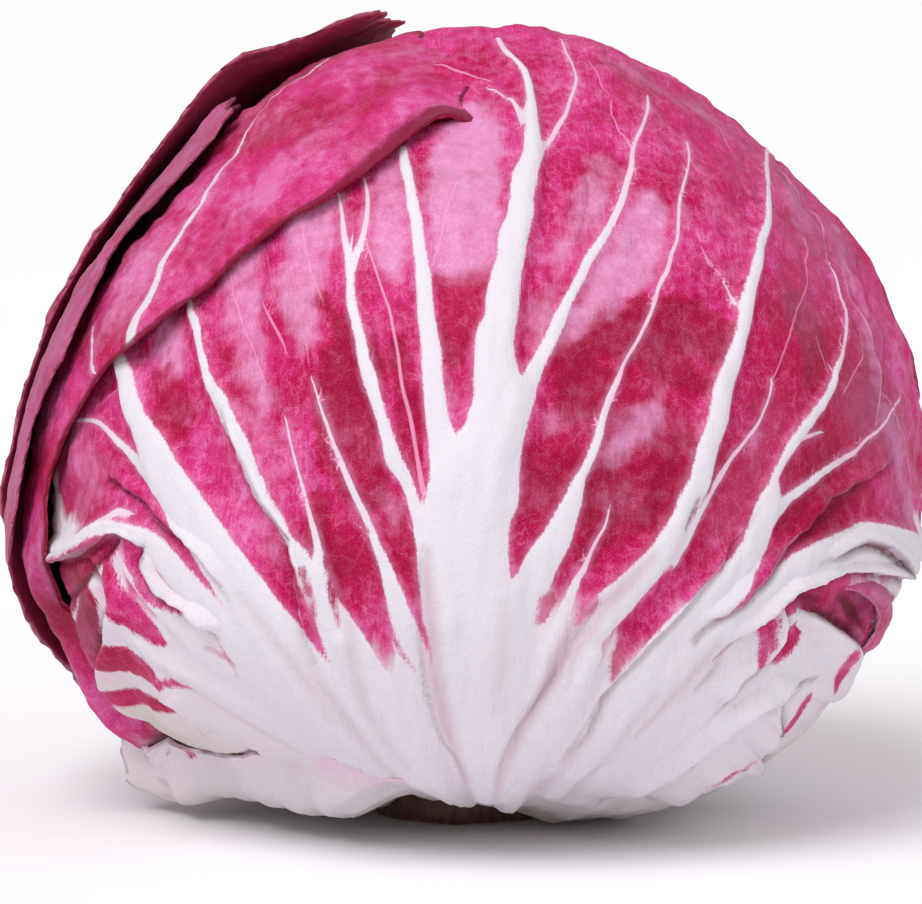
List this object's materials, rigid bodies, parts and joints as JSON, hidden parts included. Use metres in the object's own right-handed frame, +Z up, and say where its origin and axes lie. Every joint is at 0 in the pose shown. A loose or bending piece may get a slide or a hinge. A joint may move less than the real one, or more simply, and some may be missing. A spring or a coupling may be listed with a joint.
{
  "type": "radicchio head",
  "caption": "Round head of radicchio: crimson leaves with white fan-like ribs wrapped round a dense heart, standing on a short cut stem.",
  "frame": {"origin": "centre of the head's bounding box on the plane it stands on, which is the cut face of the stem", "axes": "+Z up out of the stem towards the top of the head, -Y towards the front leaf with the wide midrib, +X to its right"},
  "size_m": [0.121, 0.1188, 0.1056],
  "materials": {
    "stem": "matte, pale cut stem",
    "heart": "satin, packed inner leaves",
    "leaf_front": "satin, crimson blade with white ribs",
    "leaf_left": "satin, crimson blade with thin pale veins",
    "leaf_right": "satin, mauve blade",
    "leaf_back": "satin, crimson blade",
    "leaf_back_right": "satin, mauve blade",
    "leaf_left_outer": "satin, mauve blade",
    "leaf_left_back": "satin, maroon blade",
    "leaf_base": "matte, pale thick leaf base"
  },
  "bodies": {
    "root": {"stem": "stem", "heart": "heart", "leaf_front": "leaf_front", "leaf_left": "leaf_left", "leaf_right": "leaf_right", "leaf_back": "leaf_back", "leaf_back_right": "leaf_back_right", "leaf_left_outer": "leaf_left_outer", "leaf_left_back": "leaf_left_back", "leaf_base_left": "leaf_base", "leaf_base_right": "leaf_base"}
  },
  "joints": []
}
